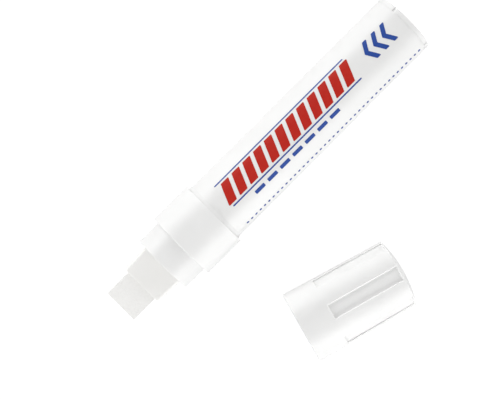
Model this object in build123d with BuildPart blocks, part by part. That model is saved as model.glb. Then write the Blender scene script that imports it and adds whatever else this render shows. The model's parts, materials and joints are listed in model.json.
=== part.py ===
from build123d import *
import os
from math import atan2, cos, degrees, pi, sqrt

# Liquid chalk marker with a broad sprung nib, its mixing ball, and its cap lying beside it.
# The marker's axis is X, from the centre of the tail face at X = 0 towards the nib. Z is up.
# Sizes are in millimetres.

# Barrel and tail plug
BARREL_LENGTH = 112.5
TAIL_RADIUS = 13.9
BARREL_SPREAD = 0.1
BARREL_WALL = 1.6
NECK_WALL = 1.2
NECK_CLEARANCE = 0.05
BEAD_HEIGHT = 0.25
BEAD_LENGTH = 1.6
BEAD_SETBACK = 4.0
PLUG_FLANGE = 2.2
PLUG_DEPTH = 8.0
PLUG_WALL = 1.4
TAIL_EDGE = 0.4
NOTCH_WIDTH = 1.1
NOTCH_DEPTH = 0.7
NOTCH_COUNT = 4
NOTCH_TURN = 62.0

# Collar and nose
COLLAR_LENGTH = 18.9
COLLAR_WALL = 2.2
COLLAR_EDGE = 0.5
SHOULDER_WIDTH = 2.3
NOSE_LENGTH = 10.8
NOSE_WALL = 1.55
NOSE_EDGE = 0.4
FRONT_WALL = 2.0

# Nib, its sleeve and its carrier
NIB_WIDTH = 15.5
NIB_THICKNESS = 5.0
NIB_REACH = 12.3
NIB_BEVEL = 4.0
NIB_LAND = 1.2
NIB_EDGE = 0.25
NIB_CLEARANCE = 0.05
NIB_TRAVEL = 3.0
SLEEVE_REACH = 12.3
SLEEVE_SIDE_WALL = 2.1
SLEEVE_FACE_WALL = 1.85
SLEEVE_SIDE_SPREAD = 0.2
SLEEVE_FACE_SPREAD = 0.3
SLEEVE_CORNER = 1.8
SLEEVE_EDGE = 0.35
SLEEVE_FLANGE = 2.0
WINDOW_CLEARANCE = 0.05
CARRIER_LENGTH = 6.0
CARRIER_GAP = 0.3
CARRIER_SOCKET = 4.5
CARRIER_PORT_RADIUS = 1.2
CARRIER_PORT_RIM = 2.1
CARRIER_PORT_TURN = 45.0
CARRIER_MARGIN = 1.2

# Valve
VALVE_FLANGE = 1.4
VALVE_FLANGE_GAP = 0.1
VALVE_CUP_RADIUS = 8.0
VALVE_CUP_WALL = 1.2
SEAT_WALL = 2.0
STEM_RADIUS = 2.0
STEM_GAP = 0.6
HEAD_RADIUS = 4.6
HEAD_LENGTH = 2.0
WASHER_THICKNESS = 1.4
GASKET_THICKNESS = 1.0
PIN_MARGIN = 2.0
SPRING_LENGTH = 12.6
SPRING_RADIUS = 3.4
SPRING_WIRE = 0.7
SPRING_TURNS = 6.5
RETAINER_SPIGOT = 2.0
RETAINER_FLANGE = 1.5
RETAINER_BORE = 1.6
RETAINER_PORT_RADIUS = 1.1
RETAINER_PORT_RIM = 0.4
PORT_COUNT = 4

# Mixing ball
BALL_RADIUS = 4.5
BALL_CLEARANCE = 0.05

# Cap and its liner
CAP_LENGTH = 46.4
CAP_CROWN = 2.15
CAP_TAPER = 0.92
CAP_WALL = 1.5
CAP_INNER_STEP = 1.3
CAP_END_WALL = 1.6
CAP_EDGE = 0.4
CAP_RIM = 0.25
CAP_CLEARANCE = 0.05
CAP_SEAT_MARGIN = 1.2
LINER_WALL = 0.8
LINER_END_WALL = 1.0
LINER_LEAD = 0.3
GROOVE_COUNT = 6
GROOVE_WIDTH = 6.4
GROOVE_DEPTH = 1.1
GROOVE_END_DEPTH = 0.9
GROOVE_START = 13.6
GROOVE_RIM = 0.6
GROOVE_TURN = -2.0
GROOVE_OVERRUN = 2.0

# Where the cap lies: its mouth's centre along and beside the marker, and the way it points
CAP_ALONG = 119.77
CAP_ASIDE = 59.31
CAP_TURN = 164.5

# Radii that follow from the sizes above
BORE_RADIUS = TAIL_RADIUS - BARREL_WALL
BARREL_RADIUS = TAIL_RADIUS + BARREL_SPREAD
NECK_RADIUS = BORE_RADIUS + NECK_WALL
SOCKET_RADIUS = NECK_RADIUS + NECK_CLEARANCE
COLLAR_RADIUS = SOCKET_RADIUS + COLLAR_WALL
NOSE_RADIUS = COLLAR_RADIUS - SHOULDER_WIDTH
CHAMBER_RADIUS = NOSE_RADIUS - NOSE_WALL
CARRIER_RADIUS = CHAMBER_RADIUS - CARRIER_GAP
CARRIER_PORT_CIRCLE = CARRIER_RADIUS - CARRIER_PORT_RIM - CARRIER_PORT_RADIUS
VALVE_FLANGE_RADIUS = SOCKET_RADIUS - VALVE_FLANGE_GAP
VALVE_BORE = VALVE_CUP_RADIUS - VALVE_CUP_WALL
RETAINER_PORT_CIRCLE = VALVE_BORE - RETAINER_PORT_RIM - RETAINER_PORT_RADIUS
WIRE_RADIUS = SPRING_WIRE / 2
LINER_SEAT_RADIUS = NOSE_RADIUS + CAP_CLEARANCE
CAP_SEAT_RADIUS = LINER_SEAT_RADIUS + LINER_WALL
CAP_MOUTH_RADIUS = CAP_SEAT_RADIUS + CAP_WALL
CAP_BORE_RADIUS = CAP_SEAT_RADIUS - CAP_INNER_STEP
LINER_BORE_RADIUS = CAP_BORE_RADIUS - LINER_WALL

# Stations along the marker's axis
X_PLUG_END = PLUG_FLANGE + PLUG_DEPTH
X_COLLAR = BARREL_LENGTH
X_SHOULDER = X_COLLAR + COLLAR_LENGTH
X_NOSE = X_SHOULDER + NOSE_LENGTH
X_SLEEVE = X_NOSE + SLEEVE_REACH
X_TIP = X_SLEEVE + NIB_REACH
X_WALL = X_NOSE - FRONT_WALL
X_STOP = X_WALL - SLEEVE_FLANGE
X_CARRIER = X_STOP - CARRIER_LENGTH
X_NIB_REAR = X_STOP - CARRIER_SOCKET
X_VALVE = X_CARRIER - NIB_TRAVEL - CARRIER_MARGIN
X_GASKET = X_VALVE - VALVE_FLANGE
X_NECK = X_GASKET - GASKET_THICKNESS
X_SEAT = X_VALVE - SEAT_WALL
X_HEAD = X_SEAT - WASHER_THICKNESS
X_SPRING_FRONT = X_HEAD - HEAD_LENGTH
X_SPRING_REAR = X_SPRING_FRONT - SPRING_LENGTH
X_CUP = X_SPRING_REAR - RETAINER_SPIGOT
X_RETAINER = X_CUP - RETAINER_FLANGE
X_PIN_END = X_SPRING_REAR + NIB_TRAVEL + PIN_MARGIN
X_BEAD = X_COLLAR + BEAD_SETBACK
X_BALL = X_PLUG_END + BALL_RADIUS + BALL_CLEARANCE

# Sleeve sections
WINDOW_WIDTH = NIB_WIDTH + 2 * NIB_CLEARANCE
WINDOW_THICKNESS = NIB_THICKNESS + 2 * NIB_CLEARANCE
SLEEVE_WIDTH = WINDOW_WIDTH + 2 * SLEEVE_SIDE_WALL
SLEEVE_THICKNESS = WINDOW_THICKNESS + 2 * SLEEVE_FACE_WALL
SLEEVE_BASE_WIDTH = SLEEVE_WIDTH + 2 * SLEEVE_SIDE_SPREAD
SLEEVE_BASE_THICKNESS = SLEEVE_THICKNESS + 2 * SLEEVE_FACE_SPREAD

# The surface that the marker and the cap lie on touches the tail's edge and the collar's rear edge
FLOOR_SLOPE = (COLLAR_RADIUS - TAIL_RADIUS) / (X_COLLAR + COLLAR_EDGE - TAIL_EDGE)
FLOOR = Plane(
    origin=(TAIL_EDGE, 0, -TAIL_RADIUS),
    x_dir=(1, 0, -FLOOR_SLOPE),
    z_dir=(FLOOR_SLOPE, 0, 1),
)

# The cap lies along one line of its tapered side, its closed end away from the nib
CAP_TILT = atan2(CAP_TAPER, CAP_LENGTH)
CAP_PLACE = FLOOR.location * Pos(CAP_ALONG, CAP_ASIDE, CAP_MOUTH_RADIUS * cos(CAP_TILT))
CAP_FRAME = Plane(CAP_PLACE * Rot(0, 0, CAP_TURN) * Rot(0, degrees(CAP_TILT), 0))
CAP_AXIS = Axis(CAP_FRAME.origin, CAP_FRAME.x_dir)


def through_axis(frame: Plane) -> Plane:
    """Sketch plane through a frame's axis: local x runs along it and local y away from it."""
    return Plane(origin=frame.origin, x_dir=frame.x_dir, z_dir=-frame.y_dir)


def cap_radius(depth: float) -> float:
    """Outer radius of the cap at a depth from its mouth."""
    return CAP_MOUTH_RADIUS - CAP_TAPER * depth / CAP_LENGTH


# Barrel: almost straight outside, straight bore, and a neck with a snap bead
with BuildPart() as barrel:
    with BuildSketch(Plane.XZ):
        with BuildLine():
            Polyline(
                (PLUG_FLANGE, BORE_RADIUS),
                (PLUG_FLANGE, TAIL_RADIUS),
                (X_COLLAR, BARREL_RADIUS),
                (X_COLLAR, NECK_RADIUS),
                (X_BEAD, NECK_RADIUS),
                (X_BEAD + BEAD_HEIGHT, NECK_RADIUS + BEAD_HEIGHT),
                (X_BEAD + BEAD_LENGTH - BEAD_HEIGHT, NECK_RADIUS + BEAD_HEIGHT),
                (X_BEAD + BEAD_LENGTH, NECK_RADIUS),
                (X_NECK, NECK_RADIUS),
                (X_NECK, BORE_RADIUS),
                close=True,
            )
        make_face()
    revolve(axis=Axis.X)
barrel.part.label = "barrel"

# Tail plug: flange with turning notches, and a hollow spigot pressed into the bore
with BuildPart() as tail_plug:
    with BuildSketch(Plane.XZ):
        with BuildLine():
            Polyline(
                (0, 0),
                (0, TAIL_RADIUS - TAIL_EDGE),
                (TAIL_EDGE, TAIL_RADIUS),
                (PLUG_FLANGE, TAIL_RADIUS),
                (PLUG_FLANGE, BORE_RADIUS),
                (X_PLUG_END, BORE_RADIUS),
                (X_PLUG_END, BORE_RADIUS - PLUG_WALL),
                (PLUG_FLANGE, BORE_RADIUS - PLUG_WALL),
                (PLUG_FLANGE, 0),
                close=True,
            )
        make_face()
    revolve(axis=Axis.X)
    with BuildSketch(Plane.YZ):
        with PolarLocations(TAIL_RADIUS, NOTCH_COUNT, start_angle=90 - NOTCH_TURN):
            Rectangle(2 * NOTCH_DEPTH, NOTCH_WIDTH)
    extrude(amount=PLUG_FLANGE, mode=Mode.SUBTRACT)
tail_plug.part.label = "tail_plug"

# Collar and nose in one moulding, with a socket for the neck and a window for the sleeve
with BuildPart() as nose_housing:
    with BuildSketch(Plane.XZ):
        with BuildLine():
            Polyline(
                (X_COLLAR, SOCKET_RADIUS),
                (X_COLLAR, COLLAR_RADIUS),
                (X_SHOULDER, COLLAR_RADIUS),
                (X_SHOULDER, NOSE_RADIUS),
                (X_NOSE, NOSE_RADIUS),
                (X_NOSE, 0),
                (X_WALL, 0),
                (X_WALL, CHAMBER_RADIUS),
                (X_VALVE, CHAMBER_RADIUS),
                (X_VALVE, SOCKET_RADIUS),
                (X_BEAD + BEAD_LENGTH, SOCKET_RADIUS),
                (X_BEAD + BEAD_LENGTH - BEAD_HEIGHT, SOCKET_RADIUS + BEAD_HEIGHT),
                (X_BEAD + BEAD_HEIGHT, SOCKET_RADIUS + BEAD_HEIGHT),
                (X_BEAD, SOCKET_RADIUS),
                close=True,
            )
        make_face()
    revolve(axis=Axis.X)
    rims = nose_housing.edges().filter_by(GeomType.CIRCLE)
    fillet(rims.filter_by(lambda rim: abs(rim.radius - COLLAR_RADIUS) < NECK_CLEARANCE), COLLAR_EDGE)
    rims = nose_housing.edges().filter_by(GeomType.CIRCLE)
    nose_rims = rims.filter_by(lambda rim: abs(rim.radius - NOSE_RADIUS) < NECK_CLEARANCE)
    fillet(nose_rims.sort_by(Axis.X)[-1], NOSE_EDGE)
    with BuildSketch(Plane.YZ.offset(X_WALL)):
        RectangleRounded(
            SLEEVE_BASE_WIDTH + 2 * WINDOW_CLEARANCE,
            SLEEVE_BASE_THICKNESS + 2 * WINDOW_CLEARANCE,
            SLEEVE_CORNER + WINDOW_CLEARANCE,
        )
    extrude(amount=FRONT_WALL, mode=Mode.SUBTRACT)
nose_housing.part.label = "nose_housing"

# Gasket between the neck's end and the valve's flange
with BuildPart() as neck_seal:
    with BuildSketch(Plane.YZ.offset(X_NECK)):
        Circle(NECK_RADIUS)
        Circle(BORE_RADIUS, mode=Mode.SUBTRACT)
    extrude(amount=GASKET_THICKNESS)
neck_seal.part.label = "neck_seal"

# Sleeve: flange inside the nose, tapered flat tube outside, and the nib's window through it
with BuildPart() as nib_sleeve:
    with BuildSketch(Plane.YZ.offset(X_NOSE)):
        RectangleRounded(SLEEVE_BASE_WIDTH, SLEEVE_BASE_THICKNESS, SLEEVE_CORNER)
    with BuildSketch(Plane.YZ.offset(X_SLEEVE)):
        RectangleRounded(SLEEVE_WIDTH, SLEEVE_THICKNESS, SLEEVE_CORNER)
    loft()
    fillet(nib_sleeve.faces().sort_by(Axis.X)[-1].edges(), SLEEVE_EDGE)
    with BuildSketch(Plane.YZ.offset(X_WALL)):
        RectangleRounded(SLEEVE_BASE_WIDTH, SLEEVE_BASE_THICKNESS, SLEEVE_CORNER)
    extrude(amount=FRONT_WALL)
    with BuildSketch(Plane.YZ.offset(X_STOP)):
        Circle(CHAMBER_RADIUS)
    extrude(amount=SLEEVE_FLANGE)
    with BuildSketch(Plane.YZ.offset(X_STOP)):
        Rectangle(WINDOW_WIDTH, WINDOW_THICKNESS)
    extrude(amount=X_SLEEVE - X_STOP, mode=Mode.SUBTRACT)
nib_sleeve.part.label = "nib_sleeve"

# Nib: felt slab, its writing end bevelled from below up to a square land at the top edge
with BuildPart() as nib:
    with BuildSketch(Plane.XZ):
        with BuildLine():
            Polyline(
                (X_NIB_REAR, -NIB_THICKNESS / 2),
                (X_TIP - NIB_BEVEL, -NIB_THICKNESS / 2),
                (X_TIP, NIB_THICKNESS / 2 - NIB_LAND),
                (X_TIP, NIB_THICKNESS / 2),
                (X_NIB_REAR, NIB_THICKNESS / 2),
                close=True,
            )
        make_face()
    extrude(amount=NIB_WIDTH / 2, both=True)
    fillet(nib.edges().filter_by(Axis.X), NIB_EDGE)
nib.part.label = "nib"

# Carrier: disc with a socket for the nib's rear end and ports for the ink
with BuildPart() as nib_carrier:
    with BuildSketch(Plane.YZ.offset(X_CARRIER)):
        Circle(CARRIER_RADIUS)
        with PolarLocations(CARRIER_PORT_CIRCLE, PORT_COUNT, start_angle=CARRIER_PORT_TURN):
            Circle(CARRIER_PORT_RADIUS, mode=Mode.SUBTRACT)
    extrude(amount=CARRIER_LENGTH)
    with BuildSketch(Plane.YZ.offset(X_NIB_REAR)):
        RectangleRounded(NIB_WIDTH, NIB_THICKNESS, NIB_EDGE)
    extrude(amount=CARRIER_SOCKET, mode=Mode.SUBTRACT)
nib_carrier.part.label = "nib_carrier"

# Valve housing: flange clamped in the nose, and a cup with the seat at its front
with BuildPart() as valve_housing:
    with BuildSketch(Plane.XZ):
        with BuildLine():
            Polyline(
                (X_CUP, VALVE_BORE),
                (X_CUP, VALVE_CUP_RADIUS),
                (X_GASKET, VALVE_CUP_RADIUS),
                (X_GASKET, VALVE_FLANGE_RADIUS),
                (X_VALVE, VALVE_FLANGE_RADIUS),
                (X_VALVE, STEM_RADIUS + STEM_GAP),
                (X_SEAT, STEM_RADIUS + STEM_GAP),
                (X_SEAT, VALVE_BORE),
                close=True,
            )
        make_face()
    revolve(axis=Axis.X)
valve_housing.part.label = "valve_housing"

# Plunger: stem up to the carrier, head behind the seat, and a pin inside the spring
with BuildPart() as valve_plunger:
    with BuildSketch(Plane.XZ):
        with BuildLine():
            Polyline(
                (X_PIN_END, 0),
                (X_PIN_END, STEM_RADIUS),
                (X_SPRING_FRONT, STEM_RADIUS),
                (X_SPRING_FRONT, HEAD_RADIUS),
                (X_HEAD, HEAD_RADIUS),
                (X_HEAD, STEM_RADIUS),
                (X_CARRIER, STEM_RADIUS),
                (X_CARRIER, 0),
                close=True,
            )
        make_face()
    revolve(axis=Axis.X)
valve_plunger.part.label = "valve_plunger"

# Rubber washer between the head and the seat
with BuildPart() as valve_seal:
    with BuildSketch(Plane.YZ.offset(X_HEAD)):
        Circle(HEAD_RADIUS)
        Circle(STEM_RADIUS, mode=Mode.SUBTRACT)
    extrude(amount=WASHER_THICKNESS)
valve_seal.part.label = "valve_seal"

# Spring between the head and the retainer
with BuildPart() as valve_spring:
    with BuildLine() as coil:
        Helix(
            pitch=(SPRING_LENGTH - SPRING_WIRE) / SPRING_TURNS,
            height=SPRING_LENGTH - SPRING_WIRE,
            radius=SPRING_RADIUS,
            center=(X_SPRING_REAR + WIRE_RADIUS, 0, 0),
            direction=(1, 0, 0),
        )
    with BuildSketch(Plane(origin=coil.line @ 0, z_dir=coil.line % 0)):
        Circle(WIRE_RADIUS)
    sweep(path=coil.line, is_frenet=True)
valve_spring.part.label = "valve_spring"

# Retainer: flanged disc pressed into the cup's rear, with a centre hole and ports for the ink
with BuildPart() as spring_retainer:
    with BuildSketch(Plane.YZ.offset(X_RETAINER)):
        Circle(VALVE_CUP_RADIUS)
    extrude(amount=RETAINER_FLANGE)
    with BuildSketch(Plane.YZ.offset(X_CUP)):
        Circle(VALVE_BORE)
    extrude(amount=RETAINER_SPIGOT)
    with BuildSketch(Plane.YZ.offset(X_RETAINER)):
        Circle(RETAINER_BORE)
        with PolarLocations(RETAINER_PORT_CIRCLE, PORT_COUNT):
            Circle(RETAINER_PORT_RADIUS)
    extrude(amount=RETAINER_FLANGE + RETAINER_SPIGOT, mode=Mode.SUBTRACT)
spring_retainer.part.label = "spring_retainer"

# Steel ball, resting on the bore against the tail plug
with BuildPart() as mixing_ball:
    with Locations((X_BALL, 0, BALL_RADIUS + BALL_CLEARANCE - BORE_RADIUS)):
        Sphere(BALL_RADIUS)
mixing_ball.part.label = "mixing_ball"

# Depths inside the cap, from its mouth
CAP_SEAT_DEPTH = NOSE_LENGTH + CAP_SEAT_MARGIN
CAP_STEP_DEPTH = CAP_SEAT_DEPTH + LINER_WALL
CAP_FLOOR_DEPTH = CAP_LENGTH - CAP_END_WALL
LINER_FLOOR_DEPTH = CAP_FLOOR_DEPTH - LINER_END_WALL

# Cap shell: tapered, stepped inside, with flat grooves that stop short of its crowned closed end
with BuildPart() as cap_shell:
    with BuildSketch(through_axis(CAP_FRAME)):
        with BuildLine():
            Polyline(
                (0, CAP_SEAT_RADIUS),
                (0, CAP_MOUTH_RADIUS - CAP_RIM),
                (CAP_RIM, cap_radius(CAP_RIM)),
                (CAP_LENGTH, cap_radius(CAP_LENGTH)),
            )
            TangentArc((CAP_LENGTH + CAP_CROWN, 0), (CAP_LENGTH, cap_radius(CAP_LENGTH)), tangent=(0, 1))
            Polyline(
                (CAP_LENGTH + CAP_CROWN, 0),
                (CAP_FLOOR_DEPTH, 0),
                (CAP_FLOOR_DEPTH, CAP_BORE_RADIUS),
                (CAP_STEP_DEPTH, CAP_BORE_RADIUS),
                (CAP_STEP_DEPTH, CAP_SEAT_RADIUS),
                (0, CAP_SEAT_RADIUS),
            )
        make_face()
    revolve(axis=CAP_AXIS)
    rims = cap_shell.edges().filter_by(GeomType.CIRCLE)
    fillet(rims.filter_by(lambda rim: abs(rim.radius - cap_radius(CAP_LENGTH)) < CAP_CLEARANCE), CAP_EDGE)
    groove_end = CAP_LENGTH - GROOVE_RIM
    groove_top = CAP_MOUTH_RADIUS + GROOVE_OVERRUN
    for groove in range(GROOVE_COUNT):
        groove_turn = Rot(GROOVE_TURN + groove * 360 / GROOVE_COUNT, 0, 0)
        groove_frame = Plane(CAP_FRAME.location * groove_turn)
        with BuildSketch(through_axis(groove_frame)):
            with BuildLine():
                Polyline(
                    (GROOVE_START, cap_radius(GROOVE_START) - GROOVE_DEPTH),
                    (groove_end, cap_radius(groove_end) - GROOVE_END_DEPTH),
                    (groove_end, groove_top),
                    (GROOVE_START, groove_top),
                    close=True,
                )
            make_face()
        extrude(amount=GROOVE_WIDTH / 2, both=True, mode=Mode.SUBTRACT)
cap_shell.part.label = "cap_shell"

# Cap liner: stepped cup pressed into the shell, wide at the mouth where it seats on the nose
with BuildPart() as cap_liner:
    with BuildSketch(through_axis(CAP_FRAME)):
        with BuildLine():
            Polyline(
                (0, LINER_SEAT_RADIUS + LINER_LEAD),
                (0, CAP_SEAT_RADIUS),
                (CAP_STEP_DEPTH, CAP_SEAT_RADIUS),
                (CAP_STEP_DEPTH, CAP_BORE_RADIUS),
                (CAP_FLOOR_DEPTH, CAP_BORE_RADIUS),
                (CAP_FLOOR_DEPTH, 0),
                (LINER_FLOOR_DEPTH, 0),
                (LINER_FLOOR_DEPTH, LINER_BORE_RADIUS),
                (CAP_SEAT_DEPTH, LINER_BORE_RADIUS),
                (CAP_SEAT_DEPTH, LINER_SEAT_RADIUS),
                (LINER_LEAD, LINER_SEAT_RADIUS),
                close=True,
            )
        make_face()
    revolve(axis=CAP_AXIS)
cap_liner.part.label = "cap_liner"

# The spring's turns stay apart, and its volume is that of its wire
spring_gap = (SPRING_LENGTH - SPRING_WIRE) / SPRING_TURNS - SPRING_WIRE
turn_length = sqrt((2 * pi * SPRING_RADIUS) ** 2 + ((SPRING_LENGTH - SPRING_WIRE) / SPRING_TURNS) ** 2)
wire_volume = pi * WIRE_RADIUS**2 * turn_length * SPRING_TURNS
print("gap between the spring's turns, mm:", round(spring_gap, 2))
print("spring volume over wire volume:", round(valve_spring.part.volume / wire_volume, 4))

# One file for each piece
os.makedirs("parts", exist_ok=True)
export_step(barrel.part, "parts/barrel.step")
export_step(tail_plug.part, "parts/tail_plug.step")
export_step(nose_housing.part, "parts/nose_housing.step")
export_step(neck_seal.part, "parts/neck_seal.step")
export_step(nib_sleeve.part, "parts/nib_sleeve.step")
export_step(nib.part, "parts/nib.step")
export_step(nib_carrier.part, "parts/nib_carrier.step")
export_step(valve_housing.part, "parts/valve_housing.step")
export_step(valve_plunger.part, "parts/valve_plunger.step")
export_step(valve_seal.part, "parts/valve_seal.step")
export_step(valve_spring.part, "parts/valve_spring.step")
export_step(spring_retainer.part, "parts/spring_retainer.step")
export_step(mixing_ball.part, "parts/mixing_ball.step")
export_step(cap_shell.part, "parts/cap_shell.step")
export_step(cap_liner.part, "parts/cap_liner.step")
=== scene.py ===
"""Liquid chalk marker with a broad sprung nib, and its cap beside it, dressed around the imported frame.

X runs along the marker from the centre of its tail face to its nib, and Z is up. Sizes held in fields are in
millimetres and angles in degrees. Meshes are made in metres, in the frame's own axes.
"""

import json
import logging
import math
from abc import ABC, abstractmethod
from dataclasses import dataclass
from enum import Enum
from typing import ClassVar, Optional, Sequence

import bmesh
import bpy
import numpy as np
from mathutils import Matrix, Vector, noise


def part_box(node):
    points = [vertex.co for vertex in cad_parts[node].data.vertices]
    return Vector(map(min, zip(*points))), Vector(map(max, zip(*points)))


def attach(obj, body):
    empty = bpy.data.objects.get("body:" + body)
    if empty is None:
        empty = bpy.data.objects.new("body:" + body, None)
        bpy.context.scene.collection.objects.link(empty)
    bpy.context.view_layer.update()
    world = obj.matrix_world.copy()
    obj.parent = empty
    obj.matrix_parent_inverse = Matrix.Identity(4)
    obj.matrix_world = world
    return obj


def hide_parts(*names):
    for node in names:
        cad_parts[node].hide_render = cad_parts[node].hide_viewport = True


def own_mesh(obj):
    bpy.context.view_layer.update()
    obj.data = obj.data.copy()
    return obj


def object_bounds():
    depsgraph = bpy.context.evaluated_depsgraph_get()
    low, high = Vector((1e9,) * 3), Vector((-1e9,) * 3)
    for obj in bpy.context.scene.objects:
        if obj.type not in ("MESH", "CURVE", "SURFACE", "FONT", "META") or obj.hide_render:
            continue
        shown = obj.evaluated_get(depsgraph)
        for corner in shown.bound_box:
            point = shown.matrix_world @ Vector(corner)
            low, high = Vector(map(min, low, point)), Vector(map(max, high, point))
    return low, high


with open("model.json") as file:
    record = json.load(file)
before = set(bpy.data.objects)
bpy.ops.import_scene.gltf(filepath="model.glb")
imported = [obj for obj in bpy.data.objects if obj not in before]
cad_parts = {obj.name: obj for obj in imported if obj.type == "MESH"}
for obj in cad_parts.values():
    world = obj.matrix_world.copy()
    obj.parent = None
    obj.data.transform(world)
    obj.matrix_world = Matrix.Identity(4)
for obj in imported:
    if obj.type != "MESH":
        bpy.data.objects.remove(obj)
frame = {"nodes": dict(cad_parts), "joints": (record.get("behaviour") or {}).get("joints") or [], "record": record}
CAD_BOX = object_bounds()

LOG = logging.getLogger("chalk_marker")
MM = 0.001
ROUND_STEPS = 5
COLUMN_COUNT = 180
ANGLE_DIGITS = 4
SHARP_ANGLE = math.radians(34.0)
MERGE_DISTANCE = 1e-7
NEAR_ZERO = 1e-9
NOISE_ENDS = (0.3, 0.7)
RANDOM_MAX_INPUT = 3
RANDOM_FLOAT_OUTPUT = 1
WHITE_LIGHT = (1.0, 1.0, 1.0, 1.0)

Triple = tuple[float, float, float]
Socket = bpy.types.NodeSocket


class Body(Enum):
    """Bodies of the frame that pieces ride on."""

    MARKER = "marker"
    NIB = "nib_unit"
    CAP = "cap"


class Slot(Enum):
    """Material slots of the record."""

    WHITE = "white_plastic"
    SLEEVE = "sleeve_plastic"
    LINER = "liner_plastic"
    FELT = "felt"
    SPRING = "spring_steel"


class Octaves(Enum):
    """How much finer noise a grain holds."""

    BROAD = 1.0
    SOFT = 2.0
    FINE = 3.0
    FINEST = 4.0


# Reading the frame


@dataclass(frozen=True)
class Span:
    """Where a node lies along the marker's axis and how far it reaches from it."""

    start: float
    end: float
    reach: float

    @classmethod
    def of(cls, node: str) -> "Span":
        """Reads a node's span from the frame.

        Args:
            node: name of a node on the marker's axis.

        Returns:
            Its span in millimetres.
        """
        low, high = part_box(node)
        return cls(low.x / MM, high.x / MM, high.y / MM)


def mount(name: str) -> dict:
    """The record's mount of that name."""
    return next(row for row in frame["record"]["mounts"] if row["name"] == name)


def nib_travel() -> float:
    """How far the nib is pressed in, in millimetres."""
    joint = next(row for row in frame["joints"] if row["name"] == "nib_press")
    return joint["range_m"][1] / MM


# Outlines and rings


@dataclass(frozen=True)
class Corner:
    """Corner of a flat outline or of a turned profile, and the radius that rounds it."""

    along: float
    out: float
    rounding: float = 0.0

    def point(self) -> np.ndarray:
        """The corner before rounding."""
        return np.array((self.along, self.out))


def unit(vector: np.ndarray) -> np.ndarray:
    """The vector at length one."""
    return vector / np.linalg.norm(vector)


def corner_arc(before: Corner, corner: Corner, after: Corner) -> list[np.ndarray]:
    """Points of the arc that rounds a corner between its two neighbours.

    Args:
        before: the corner before it.
        corner: the corner to round.
        after: the corner after it.

    Returns:
        The arc's points, from the side of the first neighbour to that of the second.
    """
    here = corner.point()
    back = unit(before.point() - here)
    ahead = unit(after.point() - here)
    half = math.acos(float(np.clip(back @ ahead, -1.0, 1.0))) / 2
    reach = corner.rounding / math.tan(half)
    centre = here + unit(back + ahead) * corner.rounding / math.sin(half)
    start = here + back * reach - centre
    end = here + ahead * reach - centre
    square = np.array((-start[1], start[0]))
    sweep = math.atan2(float(square @ end), float(start @ end))
    angles = [sweep * step / ROUND_STEPS for step in range(ROUND_STEPS + 1)]
    return [centre + (start * math.cos(angle) + square * math.sin(angle)) for angle in angles]


def rounded(corners: Sequence[Corner], closed: bool) -> np.ndarray:
    """Points of an outline whose corners are rounded by arcs.

    Args:
        corners: the outline's corners in order.
        closed: whether the last corner joins the first.

    Returns:
        One row of two numbers for each point.
    """
    points = []
    last = len(corners) - 1
    for index, corner in enumerate(corners):
        is_end = not closed and index in (0, last)
        if is_end or corner.rounding == 0.0:
            points.append(corner.point())
            continue
        after = corners[(index + 1) % len(corners)]
        points.extend(corner_arc(corners[index - 1], corner, after))
    return np.array(points)


@dataclass(frozen=True)
class Ring:
    """One ring of a skin: its station along the axis, and its points across and up."""

    along: float
    points: np.ndarray


def even_columns(count: int = COLUMN_COUNT) -> np.ndarray:
    """Angles from up, in radians, of evenly spaced columns round an axis."""
    return np.linspace(0.0, 2 * math.pi, count, endpoint=False)


def quarter_turn(count: int) -> np.ndarray:
    """Evenly spaced angles, in radians, from nothing to a quarter turn."""
    return np.linspace(0.0, math.pi / 2, count)


def circle(radius: float, columns: np.ndarray) -> np.ndarray:
    """Points of a round section at the columns' angles from up."""
    return radius * np.column_stack((np.sin(columns), np.cos(columns)))


def rounded_box(width: float, height: float, corner: float, columns: np.ndarray) -> np.ndarray:
    """Points where the columns' rays meet a rectangle with rounded corners.

    Args:
        width: size across.
        height: size upwards.
        corner: radius of the corners.
        columns: angles from up, in radians.

    Returns:
        One point across and up for each column.
    """
    rays = circle(1.0, columns)
    size = np.maximum(np.abs(rays), NEAR_ZERO)
    core = np.array((width / 2 - corner, height / 2 - corner))
    to_side = (width / 2) / size[:, 0]
    to_face = (height / 2) / size[:, 1]
    along = size @ core
    to_corner = along + np.sqrt(np.maximum(along**2 - core @ core + corner**2, 0.0))
    reach = np.where(to_side * size[:, 1] <= core[1], to_side, to_corner)
    reach = np.where(to_face * size[:, 0] <= core[0], to_face, reach)
    return rays * reach[:, None]


def round_rings(profile: np.ndarray, columns: np.ndarray) -> list[Ring]:
    """Rings of a turned profile, whose points are stations and radii."""
    return [Ring(along, circle(radius, columns)) for along, radius in profile]


def with_poles(first: float, rings: Sequence[Ring], last: float) -> list[Ring]:
    """Rings between two points on the axis, at a first and a last station."""
    pole = np.zeros_like(rings[0].points)
    return [Ring(first, pole), *rings, Ring(last, pole)]


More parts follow.
